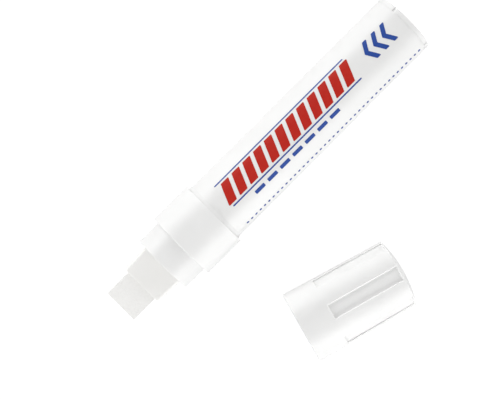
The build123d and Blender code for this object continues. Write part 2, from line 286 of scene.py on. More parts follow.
@dataclass(frozen=True)
class Slots:
    """Flat-floored slots along a round piece, spread evenly about its axis.

    Attributes:
        count: how many there are.
        width: their width between the walls.
        first: angle of the first one from up.
        rim: rounding of their outer edges.
        root: rounding of their inner corners.
        land_columns: columns on each land between two slots.
    """

    count: int
    width: float
    first: float
    rim: float
    root: float
    land_columns: int

    floor_columns: ClassVar[int] = 8
    edge_columns: ClassVar[int] = 4

    def side_points(self, radius: float, floor: float) -> np.ndarray:
        """Points from the middle of a slot's floor, across its wall, to its outer edge.

        Args:
            radius: the piece's outer radius there.
            floor: distance of the floor from the axis.

        Returns:
            Rows of the way across and the way out from the axis.
        """
        half = self.width / 2
        crest = math.sqrt(radius**2 - (half + self.rim) ** 2)
        quarter = quarter_turn(self.edge_columns)
        flat = np.linspace(0.0, half - self.root, self.floor_columns)
        rows = [(across, floor) for across in flat[:-1]]
        for angle in quarter:
            across = half - self.root + self.root * math.sin(angle)
            rows.append((across, floor + self.root - self.root * math.cos(angle)))
        for angle in quarter:
            across = half + self.rim - self.rim * math.cos(angle)
            rows.append((across, crest - self.rim + self.rim * math.sin(angle)))
        return np.array(rows)

    def ring(self, radius: float, floor: float, share: float = 1.0) -> np.ndarray:
        """Outline of the slotted piece at one station.

        Args:
            radius: the piece's outer radius there.
            floor: distance of the slots' floors from the axis.
            share: how much of the slots' depth is cut there, from 0 to 1.

        Returns:
            Points across and up, in order round the axis.
        """
        side = self.side_points(radius, floor)
        skin_height = np.sqrt(radius**2 - side[:, 0] ** 2)
        side[:, 1] = skin_height + (side[:, 1] - skin_height) * share
        mirrored = side[:0:-1] * (-1.0, 1.0)
        slot = np.vstack((mirrored, side))
        edge = math.asin((self.width / 2 + self.rim) / radius)
        pitch = 2 * math.pi / self.count
        land = np.linspace(edge, pitch - edge, self.land_columns + 2)[1:-1]
        rows = []
        for index in range(self.count):
            turn = math.radians(self.first) + index * pitch
            across = slot[:, 0] * math.cos(turn) + slot[:, 1] * math.sin(turn)
            up = slot[:, 1] * math.cos(turn) - slot[:, 0] * math.sin(turn)
            rows.append(np.column_stack((across, up)))
            rows.append(circle(radius, land + turn))
        return np.vstack(rows)


# Making meshes


def link_object(name: str, data: bpy.types.ID) -> bpy.types.Object:
    """Puts a mesh, a light or a camera into the scene as an object at the origin."""
    made = bpy.data.objects.new(name, data)
    bpy.context.scene.collection.objects.link(made)
    return made


def placing(x: Vector, y: Vector, z: Vector, origin: Vector) -> Matrix:
    """Matrix that takes the axes to three directions and the origin to a point."""
    place = Matrix((x, y, z)).transposed().to_4x4()
    place.translation = origin
    return place


def shade(mesh: bpy.types.Mesh) -> None:
    """Shades a mesh smooth between sharp edges."""
    mesh.shade_smooth()
    mesh.set_sharp_from_angle(angle=SHARP_ANGLE)


def settle(mesh: bpy.types.Mesh) -> None:
    """Merges doubles, turns the faces outwards, and shades the mesh."""
    work = bmesh.new()
    work.from_mesh(mesh)
    bmesh.ops.remove_doubles(work, verts=work.verts, dist=MERGE_DISTANCE)
    bmesh.ops.dissolve_degenerate(work, edges=work.edges, dist=MERGE_DISTANCE)
    bmesh.ops.recalc_face_normals(work, faces=work.faces)
    work.to_mesh(mesh)
    work.free()
    shade(mesh)


def finished(work: bmesh.types.BMesh, name: str) -> bpy.types.Mesh:
    """Plain mesh of a mesh in the making, which is freed."""
    mesh = bpy.data.meshes.new(name)
    work.to_mesh(mesh)
    work.free()
    return mesh


def prism(near: Sequence[Triple], far: Sequence[Triple]) -> bmesh.types.BMesh:
    """Closed prism between two equal outlines.

    Args:
        near: points of one end, in metres, anticlockwise as seen from outside.
        far: points of the other end, in the same order.

    Returns:
        The prism as a mesh in the making.
    """
    work = bmesh.new()
    first = [work.verts.new(point) for point in near]
    last = [work.verts.new(point) for point in far]
    work.faces.new(first)
    work.faces.new(last[::-1])
    for index in range(len(first)):
        after = (index + 1) % len(first)
        work.faces.new((first[after], first[index], last[index], last[after]))
    return work


def slice_across(work: bmesh.types.BMesh, way: int, low: float, high: float, count: int) -> None:
    """Cuts a mesh across one axis into equal slices.

    Args:
        work: the mesh in the making.
        way: number of the axis.
        low: where the slices start on it.
        high: where they end.
        count: how many slices there are.
    """
    normal = Vector((0.0, 0.0, 0.0))
    normal[way] = 1.0
    for index in range(1, count):
        level = low + (high - low) * index / count
        everything = work.verts[:] + work.edges[:] + work.faces[:]
        bmesh.ops.bisect_plane(work, geom=everything, plane_co=normal * level * MM, plane_no=normal)


def skin(
    name: str,
    rings: Sequence[Ring],
    loop: bool,
    place: Optional[Matrix] = None,
) -> bpy.types.Object:
    """Closed surface stretched over rings.

    Args:
        name: name of the object.
        rings: rings with equally many points, in order along the surface.
        loop: whether the last ring joins the first. Otherwise both ends are points on the axis.
        place: turn and shift of the finished mesh, in metres.

    Returns:
        The new object, at the origin.
    """
    across = len(rings[0].points)
    places = []
    for ring in rings:
        places.extend((ring.along * MM, y * MM, z * MM) for y, z in ring.points)
    faces = []
    bands = len(rings) if loop else len(rings) - 1
    for band in range(bands):
        here = band * across
        there = (band + 1) % len(rings) * across
        for column in range(across):
            beside = (column + 1) % across
            faces.append((here + column, here + beside, there + beside, there + column))
    mesh = bpy.data.meshes.new(name)
    mesh.from_pydata(places, [], faces)
    if place is not None:
        mesh.transform(place)
    settle(mesh)
    return link_object(name, mesh)


def plain_mesh(holder: bpy.types.Object) -> bpy.types.Mesh:
    """The mesh that an object's modifiers give, with the object and its modifiers removed."""
    depsgraph = bpy.context.evaluated_depsgraph_get()
    mesh = bpy.data.meshes.new_from_object(holder.evaluated_get(depsgraph))
    holder.modifiers.clear()
    bpy.data.objects.remove(holder)
    return mesh


def joined(name: str, meshes: Sequence[bpy.types.Mesh]) -> bpy.types.Object:
    """One object of several plain meshes that share a material."""
    work = bmesh.new()
    for mesh in meshes:
        work.from_mesh(mesh)
    whole = finished(work, name)
    shade(whole)
    return link_object(name, whole)


# Node trees


class NodeTree:
    """Node tree with short ways to add nodes and to link and set their inputs."""

    def __init__(self, tree: bpy.types.NodeTree) -> None:
        """Takes the tree to fill."""
        self.tree = tree

    def fill(self, node: bpy.types.Node, inputs: dict) -> None:
        """Links or sets inputs of a node.

        Args:
            node: the node.
            inputs: a socket to link or a value to set, for each input by name or number.
        """
        for key, given in inputs.items():
            if isinstance(given, Socket):
                self.tree.links.new(given, node.inputs[key])
            else:
                node.inputs[key].default_value = given

    def node(self, kind: str, inputs: Optional[dict] = None, **settings: object) -> bpy.types.Node:
        """Adds a node.

        Args:
            kind: Blender's name for the node.
            inputs: a socket to link or a value to set, for each of its inputs by name or number.
            **settings: the node's own settings.

        Returns:
            The new node.
        """
        made = self.tree.nodes.new(kind)
        for key, setting in settings.items():
            setattr(made, key, setting)
        self.fill(made, inputs or {})
        return made


class GeometryTree(NodeTree):
    """Geometry Nodes tree with named inputs."""

    def __init__(self, name: str) -> None:
        """Starts a tree that takes and gives geometry."""
        super().__init__(bpy.data.node_groups.new(name, "GeometryNodeTree"))
        self.sockets: dict[str, str] = {}
        self.entry = self.node("NodeGroupInput")
        self.exit = self.node("NodeGroupOutput")
        self.add_inputs("Geometry", "Geometry")
        self.tree.interface.new_socket("Geometry", in_out="OUTPUT", socket_type="NodeSocketGeometry")

    def add_inputs(self, kind: str, *names: str) -> None:
        """Adds named inputs of one kind and keeps their identifiers."""
        for name in names:
            made = self.tree.interface.new_socket(name, in_out="INPUT", socket_type=f"NodeSocket{kind}")
            self.sockets[name] = made.identifier

    def value(self, name: str) -> Socket:
        """The socket that gives a named input."""
        return self.entry.outputs[name]

    def math(self, operation: str, first: object, second: object = 0.0) -> Socket:
        """Result of a sum on sockets or numbers."""
        return self.node("ShaderNodeMath", {0: first, 1: second}, operation=operation).outputs[0]

    def times(self, first: object, second: object) -> Socket:
        """Product of sockets or numbers."""
        return self.math("MULTIPLY", first, second)

    def vector(self, **parts: object) -> Socket:
        """Vector with sockets or numbers as its X, Y and Z, and nothing where one isn't given."""
        return self.node("ShaderNodeCombineXYZ", parts).outputs[0]

    def position(self) -> bpy.types.bpy_prop_collection:
        """Sockets X, Y and Z of where a point lies."""
        place = self.node("GeometryNodeInputPosition").outputs["Position"]
        return self.node("ShaderNodeSeparateXYZ", {"Vector": place}).outputs

    def moved(self, geometry: Socket, place: Socket) -> Socket:
        """The geometry with its points at new places."""
        made = self.node("GeometryNodeSetPosition", {"Geometry": geometry, "Position": place})
        return made.outputs["Geometry"]

    def tube(self, curve: Socket, radius: Socket, sides: object) -> Socket:
        """Closed round tube along a curve."""
        section = self.node("GeometryNodeCurvePrimitiveCircle", {"Resolution": sides, "Radius": radius})
        inputs = {"Curve": curve, "Profile Curve": section.outputs["Curve"], "Fill Caps": True}
        return self.node("GeometryNodeCurveToMesh", inputs).outputs["Mesh"]

    def random_turn(self, seed: Socket) -> Socket:
        """Random angle up to a full turn, for each point."""
        inputs = {RANDOM_MAX_INPUT: 2 * math.pi, "Seed": seed}
        made = self.node("FunctionNodeRandomValue", inputs, data_type="FLOAT")
        return made.outputs[RANDOM_FLOAT_OUTPUT]

    def finish(self, geometry: Socket, material: Socket) -> None:
        """Ends the tree: instances made real, and the material set."""
        real = self.node("GeometryNodeRealizeInstances", {"Geometry": geometry}).outputs["Geometry"]
        dressed = self.node("GeometryNodeSetMaterial", {"Geometry": real, "Material": material})
        self.fill(self.exit, {"Geometry": dressed.outputs["Geometry"]})

    def run(self, mesh: bpy.types.Mesh, values: dict[str, object]) -> bpy.types.Mesh:
        """Runs the tree on a mesh.

        Args:
            mesh: what goes in.
            values: a value for each named input.

        Returns:
            The result as a plain mesh.
        """
        holder = link_object(mesh.name, mesh)
        modifier = holder.modifiers.new("nodes", "NODES")
        modifier.node_group = self.tree
        for key, given in values.items():
            modifier[self.sockets[key]] = given
        return plain_mesh(holder)


class Shader(NodeTree):
    """Node tree of one material with one principled surface."""

    def __init__(self, name: str) -> None:
        """Starts the material."""
        self.material = bpy.data.materials.new(name)
        self.material.use_nodes = True
        super().__init__(self.material.node_tree)
        self.tree.nodes.clear()
        self.surface = self.node("ShaderNodeBsdfPrincipled")
        self.node("ShaderNodeOutputMaterial", {"Surface": self.surface.outputs["BSDF"]})
        self.place = self.node("ShaderNodeTexCoord").outputs["Object"]

    def cover(self, inputs: dict) -> None:
        """Links or sets inputs of the surface by name."""
        self.fill(self.surface, inputs)

    def grain(
        self,
        size: float,
        octaves: Octaves = Octaves.SOFT,
        stretch: Triple = (1.0, 1.0, 1.0),
    ) -> Socket:
        """Noise in object space.

        Args:
            size: rough size of a grain.
            octaves: how much finer noise it holds.
            stretch: how many times longer the grains are along X, Y and Z.

        Returns:
            The noise's strength, about 0.5.
        """
        scale = [1.0 / (size * MM * way) for way in stretch]
        mapping = self.node("ShaderNodeMapping", {"Vector": self.place, "Scale": scale})
        inputs = {"Vector": mapping.outputs["Vector"], "Scale": 1.0, "Detail": octaves.value}
        return self.node("ShaderNodeTexNoise", inputs).outputs["Fac"]

    def shades(self, strength: Socket, dark: Triple, light: Triple) -> None:
        """Colours the surface between two shades by a noise's strength."""
        ramp = self.node("ShaderNodeValToRGB", {"Fac": strength})
        for stop, position, colour in zip(tuple(ramp.color_ramp.elements), NOISE_ENDS, (dark, light)):
            stop.position = position
            stop.color = (*colour, 1.0)
        self.cover({"Base Color": ramp.outputs["Color"]})

    def polish(self, strength: Socket, low: float, high: float) -> None:
        """Varies the roughness between two values by a noise's strength."""
        least, most = NOISE_ENDS
        inputs = {"Value": strength, "From Min": least, "From Max": most, "To Min": low, "To Max": high}
        self.cover({"Roughness": self.node("ShaderNodeMapRange", inputs).outputs["Result"]})

    def relief(self, *layers: tuple[Socket, float]) -> None:
        """Raises the surface by layers of noise, each with its height in millimetres."""
        below: dict[str, Socket] = {}
        for strength, height in layers:
            bump = self.node("ShaderNodeBump", {"Height": strength, "Distance": height * MM, **below})
            below = {"Normal": bump.outputs["Normal"]}
        self.cover(below)


# Finishes


@dataclass(frozen=True)
class Finish(ABC):
    """A surface finish that makes its own material once.

    Attributes:
        name: name of the material.
        dark: the darker of the shades that it wanders between.
        light: the lighter one.
        smooth: its least roughness.
        rough: its greatest roughness.
    """

    name: str
    dark: Triple
    light: Triple
    smooth: float
    rough: float

    _made: ClassVar[dict[str, bpy.types.Material]] = {}

    @abstractmethod
    def paint(self, shader: Shader) -> None:
        """Builds the finish on a new shader."""

    def material(self) -> bpy.types.Material:
        """The finish's material."""
        if self.name not in self._made:
            shader = Shader(self.name)
            self.paint(shader)
            self._made[self.name] = shader.material
        return self._made[self.name]


@dataclass(frozen=True)
class MouldedPlastic(Finish):
    """Satin moulded plastic that light sinks into: faint mottle, uneven polish, and the mould's grain."""

    mottle: float = 14.0
    flow: float = 7.0
    flow_height: float = 0.012
    grain: float = 0.35
    grain_height: float = 0.003
    cloudiness: float = 1.0
    scatter: float = 0.4
    scatter_ways: Triple = (1.0, 1.0, 1.0)

    def paint(self, shader: Shader) -> None:
        """Builds the finish on a new shader."""
        shader.shades(shader.grain(self.mottle), self.dark, self.light)
        shader.polish(shader.grain(self.flow, Octaves.FINEST), self.smooth, self.rough)
        flow = shader.grain(self.flow, Octaves.BROAD)
        shader.relief((flow, self.flow_height), (shader.grain(self.grain), self.grain_height))
        shader.cover(
            {
                "Subsurface Weight": self.cloudiness,
                "Subsurface Radius": self.scatter_ways,
                "Subsurface Scale": self.scatter * MM,
            }
        )


@dataclass(frozen=True)
class PressedFelt(Finish):
    """Pressed fibre: a soft mottle, fine tangled fibres along the nib, and a faint sheen."""

    mottle: float = 0.9
    fibre: float = 0.09
    fibre_length: float = 6.0
    fibre_height: float = 0.03
    lump: float = 0.8
    lump_height: float = 0.03
    sheen: float = 0.12

    def paint(self, shader: Shader) -> None:
        """Builds the finish on a new shader."""
        shader.shades(shader.grain(self.mottle, Octaves.FINEST), self.dark, self.light)
        shader.polish(shader.grain(self.mottle), self.smooth, self.rough)
        along = shader.grain(self.fibre, Octaves.FINE, (self.fibre_length, 1.0, 1.0))
        across = shader.grain(self.fibre, Octaves.FINE, (1.0, self.fibre_length, 1.0))
        lumps = shader.grain(self.lump)
        shader.relief((lumps, self.lump_height), (along, self.fibre_height), (across, self.fibre_height))
        shader.cover({"Sheen Weight": self.sheen})


@dataclass(frozen=True)
class PrintInk(Finish):
    """Screen-printed ink: nearly even colour, with the faint mottle of a thin film."""

    mottle: float = 1.6
    mesh: float = 0.12
    mesh_height: float = 0.004
    gloss: float = 0.3

    def paint(self, shader: Shader) -> None:
        """Builds the finish on a new shader."""
        shader.shades(shader.grain(self.mottle, Octaves.FINE), self.dark, self.light)
        shader.polish(shader.grain(self.mottle), self.smooth, self.rough)
        shader.relief((shader.grain(self.mesh), self.mesh_height))
        shader.cover({"Specular IOR Level": self.gloss})


@dataclass(frozen=True)
class Steel(Finish):
    """Bright steel, with marks drawn along X."""

    mark: float = 0.08
    mark_length: float = 12.0
    mark_height: float = 0.001
    metal: float = 1.0

    def paint(self, shader: Shader) -> None:
        """Builds the finish on a new shader."""
        marks = shader.grain(self.mark, Octaves.FINE, (self.mark_length, 1.0, 1.0))
        shader.shades(marks, self.dark, self.light)
        shader.polish(marks, self.smooth, self.rough)
        shader.relief((marks, self.mark_height))
        shader.cover({"Metallic": self.metal})


@dataclass(frozen=True)
class SealRubber(Finish):
    """Matt black rubber with a dusty mottle."""

    mottle: float = 1.2
    grain: float = 0.15
    grain_height: float = 0.006

    def paint(self, shader: Shader) -> None:
        """Builds the finish on a new shader."""
        shader.shades(shader.grain(self.mottle, Octaves.FINEST), self.dark, self.light)
        shader.polish(shader.grain(self.mottle), self.smooth, self.rough)
        shader.relief((shader.grain(self.grain), self.grain_height))


WHITE_PLASTIC = MouldedPlastic("white_moulding", (0.79, 0.79, 0.785), (0.81, 0.81, 0.805), 0.44, 0.5)
SLEEVE_PLASTIC = MouldedPlastic("sleeve_moulding", (0.84, 0.835, 0.82), (0.855, 0.85, 0.835), 0.42, 0.5)
LINER_PLASTIC = MouldedPlastic("liner_moulding", (0.78, 0.785, 0.79), (0.8, 0.805, 0.81), 0.38, 0.46)
INNER_PLASTIC = MouldedPlastic("inner_moulding", (0.66, 0.67, 0.68), (0.71, 0.72, 0.73), 0.4, 0.5)
NIB_FELT = PressedFelt("pressed_felt", (0.825, 0.82, 0.805), (0.855, 0.85, 0.835), 0.88, 0.98)
RED_INK = PrintInk("red_ink", (0.44, 0.01, 0.003), (0.47, 0.014, 0.005), 0.34, 0.46)
BLUE_INK = PrintInk("blue_ink", (0.018, 0.06, 0.29), (0.022, 0.07, 0.32), 0.34, 0.46)
SPRING_STEEL = Steel("drawn_steel", (0.5, 0.5, 0.51), (0.66, 0.66, 0.67), 0.2, 0.34)
BALL_STEEL = Steel("polished_steel", (0.66, 0.66, 0.67), (0.72, 0.72, 0.73), 0.06, 0.14)
SEAL_RUBBER = SealRubber("seal_rubber", (0.018, 0.018, 0.019), (0.035, 0.035, 0.036), 0.62, 0.78)


# Dressing pieces and nodes


def dress(
    piece: bpy.types.Object,
    finish: Finish,
    body: Body,
    node: Optional[str] = None,
) -> bpy.types.Object:
    """Gives a piece its material and its body, and hides the node of the frame that it stands for.

    Args:
        piece: the finished object.
        finish: its finish.
        body: the body that it rides on.
        node: the node of the frame that it stands for.

    Returns:
        The same object.
    """
    piece.data.materials.clear()
    piece.data.materials.append(finish.material())
    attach(piece, body.value)
    if node is not None:
        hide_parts(node)
    LOG.info("%s: %d faces, %s, on %s", piece.name, len(piece.data.polygons), finish.name, body.value)
    return piece


def dress_nodes(finish: Finish, *nodes: str) -> None:
    """Gives nodes of the frame a finish in all their material slots."""
    for node in nodes:
        for slot in frame["nodes"][node].material_slots:
            slot.material = finish.material()
        LOG.info("%s: node of the frame, %s", node, finish.name)


# Sub-assemblies


@dataclass
class Barrel:
    """Almost straight barrel with its neck, and the plug that closes its tail."""

    bore: float = 12.3
    neck: float = 13.5
    seam_rounding: float = 0.04
    fillet_length: float = 1.8
    fillet_height: float = 0.5
    mouth_rounding: float = 0.2
    bead_setback: float = 4.0
    bead_length: float = 1.6
    bead_height: float = 0.25
    plug_wall: float = 1.4
    plug_edge: float = 0.4
    notch_depth: float = 0.4
    notches: Slots = Slots(count=4, width=1.1, first=62.0, rim=0.08, root=0.06, land_columns=44)

    def __post_init__(self) -> None:
        """Reads the stations and radii that the frame gives."""
        tube = Span.of("barrel")
        plug = Span.of("tail_plug")
        self.tail = plug.start
        self.seam = tube.start
        self.neck_end = tube.end
        self.plug_end = plug.end
        self.tail_radius = plug.reach
        self.front_radius = tube.reach
        self.front = Span.of("nose_housing").start

    def slope(self) -> float:
        """How much the outer radius grows per length towards the nib."""
        return (self.front_radius - self.tail_radius) / (self.front - self.seam)

    def build_tube(self) -> bpy.types.Object:
        """Barrel: a fillet up to the collar, a straight bore, and a neck with a snap bead."""
        bead = self.front + self.bead_setback
        crest = self.neck + self.bead_height
        corners = [
            Corner(self.seam, self.bore),
            Corner(self.seam, self.tail_radius, self.seam_rounding),
            Corner(self.front - self.fillet_length, self.front_radius, self.fillet_length / 2),
            Corner(self.front, self.front_radius + self.fillet_height),
            Corner(self.front, self.neck),
            Corner(bead, self.neck),
            Corner(bead + self.bead_height, crest, self.bead_height / 2),
            Corner(bead + self.bead_length - self.bead_height, crest, self.bead_height / 2),
            Corner(bead + self.bead_length, self.neck),
            Corner(self.neck_end, self.neck, self.mouth_rounding),
            Corner(self.neck_end, self.bore, self.mouth_rounding),
        ]
        return skin("barrel_tube", round_rings(rounded(corners, True), even_columns()), loop=True)

    def build_plug(self) -> bpy.types.Object:
        """Plug: rounded flange with turning notches, and a hollow spigot in the bore."""
        floor = self.tail_radius - self.notch_depth
        flange = [
            Corner(self.tail, 0.0),
            Corner(self.tail, self.tail_radius, self.plug_edge),
            Corner(self.seam, self.tail_radius, self.seam_rounding),
            Corner(self.seam, self.bore),
        ]
        spigot = [
            Corner(self.seam, self.bore),
            Corner(self.plug_end, self.bore, self.mouth_rounding),
            Corner(self.plug_end, self.bore - self.plug_wall, self.mouth_rounding),
            Corner(self.seam, self.bore - self.plug_wall),
            Corner(self.seam, 0.0),
        ]
        outside = rounded(flange, False)
        rings = [Ring(along, self.notches.ring(radius, floor)) for along, radius in outside[1:-1]]
        inside = rounded(spigot, False)
        rings += [Ring(along, self.notches.ring(radius, floor, 0.0)) for along, radius in inside[:-1]]
        return skin("barrel_tail_plug", with_poles(self.tail, rings, self.seam), loop=False)

    def build(self) -> None:
        """Builds and dresses the barrel's pieces."""
        dress(self.build_tube(), WHITE_PLASTIC, Body.MARKER, "barrel")
        dress(self.build_plug(), WHITE_PLASTIC, Body.MARKER, "tail_plug")


class Motif(Enum):
    """Shapes of the barrel's print."""

    BAR = "slanted bar"
    CHEVRON = "chevron"
    DASH = "dash"
    DOT = "dot"


@dataclass(frozen=True)
class PrintRow:
    """A row of equal motifs along the barrel.

    Attributes:
        motif: the shape that repeats.
        ink: its ink.
        length: size of one motif along the barrel.
        height: its size round the barrel.
        first: station of the first motif's middle.
        pitch: distance from one motif to the next.
        count: how many there are.
        turn: angle of the row from up, towards +Y.
    """

    motif: Motif
    ink: PrintInk
    length: float
    height: float
    first: float
    pitch: float
    count: int
    turn: float


@dataclass
class BarrelPrint:
    """Print on the barrel: plain bars, chevrons, dashes and dots in two inks."""

    barrel: Barrel
    film: float = 0.03
    root: float = 0.05
    slant: float = 0.42
    chevron_share: float = 0.9
    corner: float = 0.35
    height_per_corner: float = 2.2
    strip: float = 0.75
    dot_sides: int = 14
    rows: tuple[PrintRow, ...] = (
        PrintRow(Motif.BAR, RED_INK, 4.3, 9.2, 33.5, 6.2, 12, -8.0),
        PrintRow(Motif.DASH, BLUE_INK, 74.0, 0.6, 67.6, 1.0, 1, -31.5),
        PrintRow(Motif.DASH, BLUE_INK, 74.0, 0.6, 67.6, 1.0, 1, 15.5),
        PrintRow(Motif.CHEVRON, BLUE_INK, 5.0, 9.2, 10.5, 5.0, 3, -8.0),
        PrintRow(Motif.DASH, BLUE_INK, 5.2, 1.7, 48.5, 7.2, 7, 27.0),
        PrintRow(Motif.DOT, BLUE_INK, 1.25, 1.25, 5.0, 2.5, 41, 64.0),
    )

    def outline(self, row: PrintRow) -> np.ndarray:
        """Outline of a row's motif about its middle.

        Args:
            row: the row.

        Returns:
            Points along the barrel and round it.
        """
        length = row.length / 2
        height = row.height / 2
        corner = min(self.corner, row.height / self.height_per_corner)
        if row.motif is Motif.DOT:
            return circle(length, even_columns(self.dot_sides))[::-1]
        if row.motif is Motif.CHEVRON:
            thick = length * self.chevron_share
            places = [
                (-length, -height),
                (-length + thick, -height),
                (length, 0.0),
                (-length + thick, height),
                (-length, height),
                (length - thick, 0.0),
            ]
        else:
            lean = height * self.slant if row.motif is Motif.BAR else 0.0
            low, high = -length - lean, length - lean
            places = [(low, -height), (high, -height), (high + 2 * lean, height), (low + 2 * lean, height)]
        return rounded([Corner(along, out, corner) for along, out in places], True)

    def motif_mesh(self, row: PrintRow) -> bpy.types.Mesh:
        """Flat closed slab of a row's motif, cut into strips that can bend round the barrel."""
        outline = self.outline(row) * MM
        top = [(x, y, self.film * MM) for x, y in outline]
        underside = [(x, y, -self.root * MM) for x, y in outline]
        work = prism(top, underside)
        half = row.height / 2
        slice_across(work, way=1, low=-half, high=half, count=int(row.height / self.strip))
        bmesh.ops.triangulate(work, faces=work.faces)
        return finished(work, row.motif.value)

    def row_tree(self) -> GeometryTree:
        """Tree that repeats a flat motif along the barrel and wraps it round."""
        tree = GeometryTree("print_row")
        tree.add_inputs("Int", "Count")
        tree.add_inputs("Float", "First", "Pitch", "Turn", "Radius at Tail", "Radius per Length")
        tree.add_inputs("Material", "Ink")
        stations = {
            "Count": tree.value("Count"),
            "Start Location": tree.vector(X=tree.value("First")),
            "Offset": tree.vector(X=tree.value("Pitch")),
        }
        line = tree.node("GeometryNodeMeshLine", stations).outputs["Mesh"]
        motifs = {"Points": line, "Instance": tree.value("Geometry")}
        row = tree.node("GeometryNodeInstanceOnPoints", motifs).outputs["Instances"]
        flat = tree.node("GeometryNodeRealizeInstances", {"Geometry": row}).outputs["Geometry"]
        along, aside, above = tree.position()
        growth = tree.times(along, tree.value("Radius per Length"))
        radius = tree.math("ADD", tree.value("Radius at Tail"), growth)
        angle = tree.math("ADD", tree.value("Turn"), tree.math("DIVIDE", aside, radius))
        reach = tree.math("ADD", radius, above)
        across = tree.times(reach, tree.math("SINE", angle))
        up = tree.times(reach, tree.math("COSINE", angle))
        wrapped = tree.moved(flat, tree.vector(X=along, Y=across, Z=up))
        tree.finish(wrapped, tree.value("Ink"))
        return tree

    def build(self) -> None:
        """Builds and dresses the print, one piece for each ink."""
        tree = self.row_tree()
        slope = self.barrel.slope()
        at_tail = (self.barrel.tail_radius - slope * self.barrel.seam) * MM
        made: dict[PrintInk, list[bpy.types.Mesh]] = {}
        for row in self.rows:
            values = {
                "Count": row.count,
                "First": row.first * MM,
                "Pitch": row.pitch * MM,
                "Turn": math.radians(row.turn),
                "Radius at Tail": at_tail,
                "Radius per Length": slope,
                "Ink": row.ink.material(),
            }
            mesh = tree.run(self.motif_mesh(row), values)
            made.setdefault(row.ink, []).append(mesh)
        for ink, meshes in made.items():
            dress(joined(f"barrel_print_{ink.name}", meshes), ink, Body.MARKER)


@dataclass
class Nose:
    """Collar and nose in one moulding, the nib's sleeve, and the seal behind them."""

    socket: float = 13.55
    collar_length: float = 18.9
    collar_rounding: float = 0.1
    shoulder_fillet: float = 0.25
    nose_rounding: float = 0.15
    chamber: float = 11.9
    valve_station: float = 128.0
    front_wall: float = 2.0
    corner_rounding: float = 0.25
    sleeve_width: float = 19.8
    sleeve_height: float = 8.8
    base_width: float = 20.2
    base_height: float = 9.4
    sleeve_corner: float = 1.8
    sleeve_rounding: float = 0.06
    window_width: float = 15.6
    window_height: float = 5.1
    window_corner: float = 0.25
    window_lead: float = 0.12
    gap: float = 0.05

    def __post_init__(self) -> None:
        """Reads the stations and radii that the frame gives."""
        housing = Span.of("nose_housing")
        sleeve = Span.of("nib_sleeve")
        self.rear = housing.start
        self.front = housing.end
        self.collar = housing.reach
        self.sleeve_rear = sleeve.start
        self.sleeve_front = sleeve.end
        self.nose = mount("cap_seat")["dims"]["r_mm"]
        self.shoulder = self.rear + self.collar_length
        self.wall = self.front - self.front_wall

    def columns(self) -> np.ndarray:
        """Angles from up of the columns: even ones, and more at the sleeve's and the window's corners."""
        angles = list(even_columns())
        sections = [
            (self.base_width, self.base_height, self.sleeve_corner),
            (self.sleeve_width, self.sleeve_height, self.sleeve_corner),
            (self.window_width, self.window_height, self.window_corner),
        ]
        for width, height, corner in sections:
            for share in quarter_turn(ROUND_STEPS + 1):
                across = width / 2 - corner + corner * math.sin(share)
                up = height / 2 - corner + corner * math.cos(share)
                angle = math.atan2(across, up)
                angles += [angle, math.pi - angle, math.pi + angle, 2 * math.pi - angle]
        return np.unique(np.round(angles, ANGLE_DIGITS))

    def build_housing(self) -> bpy.types.Object:
        """Collar and nose, with a socket for the neck, a chamber, and a window for the sleeve."""
        columns = self.columns()
        outside = [
            Corner(self.rear, self.socket),
            Corner(self.rear, self.collar, self.collar_rounding),
            Corner(self.shoulder, self.collar, self.collar_rounding),
            Corner(self.shoulder, self.nose, self.shoulder_fillet),
            Corner(self.front, self.nose, self.nose_rounding),
            Corner(self.front, self.base_width / 2 + self.nose_rounding),
        ]
        inside = [
            Corner(self.wall, self.base_width / 2),
            Corner(self.wall, self.chamber, self.corner_rounding),
            Corner(self.valve_station, self.chamber, self.corner_rounding),
            Corner(self.valve_station, self.socket),
        ]
        wide = self.base_width + 2 * self.gap
        high = self.base_height + 2 * self.gap
        window = rounded_box(wide, high, self.sleeve_corner + self.gap, columns)
        rings = round_rings(rounded(outside, False)[:-1], columns)
        rings += [Ring(self.front, window), Ring(self.wall, window)]
        rings += round_rings(rounded(inside, False)[1:], columns)
        return skin("nose_housing_shell", rings, loop=True)

    def sleeve_section(self, drawn_in: float, columns: np.ndarray) -> np.ndarray:
        """Outline of the sleeve's front end, drawn in all round."""
        width = self.sleeve_width - 2 * drawn_in
        height = self.sleeve_height - 2 * drawn_in
        return rounded_box(width, height, self.sleeve_corner - drawn_in, columns)

    def window_section(self, lead: float, columns: np.ndarray) -> np.ndarray:
        """Outline of the nib's window, wider all round."""
        width = self.window_width + 2 * lead
        height = self.window_height + 2 * lead
        return rounded_box(width, height, self.window_corner + lead, columns)

    def build_sleeve(self) -> bpy.types.Object:
        """Sleeve: flange in the chamber, tapered flat tube in front of the nose, and the nib's window."""
        columns = self.columns()
        rim = self.sleeve_rounding
        flange = np.array([(self.sleeve_rear, self.chamber), (self.wall, self.chamber)])
        rings = round_rings(flange, columns)
        base = rounded_box(self.base_width, self.base_height, self.sleeve_corner, columns)
        rings += [Ring(self.wall, base), Ring(self.front, base)]
        for share in quarter_turn(ROUND_STEPS + 1):
            section = self.sleeve_section(rim * (1.0 - math.cos(share)), columns)
            rings.append(Ring(self.sleeve_front - rim + rim * math.sin(share), section))
        window = self.window_section(0.0, columns)
        rings += [
            Ring(self.sleeve_front, self.window_section(self.window_lead, columns)),
            Ring(self.sleeve_front - 2 * self.window_lead, window),
            Ring(self.sleeve_rear, window),
        ]
        return skin("nib_sleeve_shell", rings, loop=True)

    def build(self) -> None:
        """Builds and dresses the nose's pieces."""
        dress(self.build_housing(), WHITE_PLASTIC, Body.MARKER, "nose_housing")
        dress(self.build_sleeve(), SLEEVE_PLASTIC, Body.MARKER, "nib_sleeve")
        dress_nodes(SEAL_RUBBER, "neck_seal")


